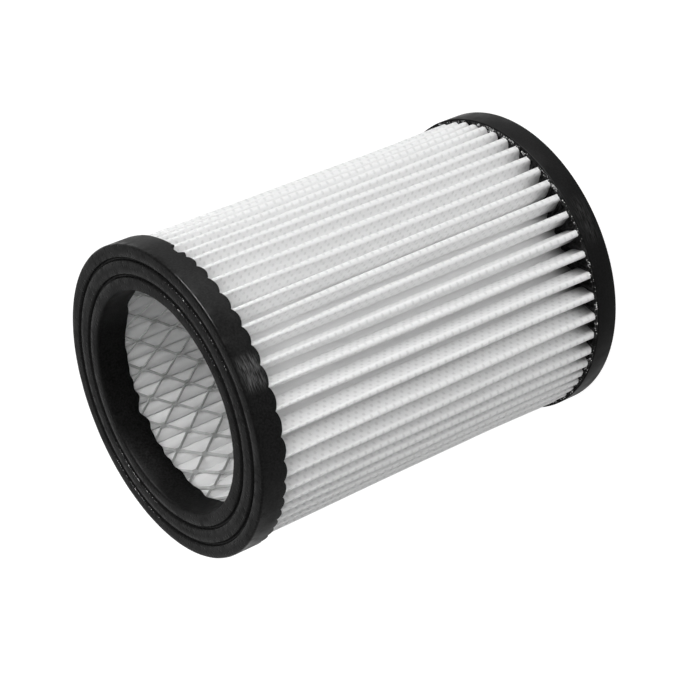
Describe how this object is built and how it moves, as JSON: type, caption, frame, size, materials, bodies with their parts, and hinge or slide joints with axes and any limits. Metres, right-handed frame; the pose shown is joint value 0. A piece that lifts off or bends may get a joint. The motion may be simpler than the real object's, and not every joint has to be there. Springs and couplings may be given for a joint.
{
  "type": "vacuum cleaner cartridge filter",
  "caption": "Round pleated filter cartridge for a vacuum cleaner: black cast end caps, open and grooved for sealing at the top, closed below, with expanded metal inside the pleats.",
  "frame": {"origin": "centre of the closed rear cap's outer face, which the filter stands on", "axes": "+Z along the filter's axis, from the closed rear cap towards the open front cap; +X through the middle of a fold"},
  "size_m": [0.09, 0.09, 0.125],
  "materials": {
    "black_urethane": "matt cast skin",
    "white_nonwoven": "embossed nonwoven",
    "expanded_steel": "galvanised"
  },
  "bodies": {
    "root": {"front_end_cap": "black_urethane", "rear_end_cap": "black_urethane", "pleated_media": "white_nonwoven", "support_tube": "expanded_steel"}
  },
  "joints": []
}
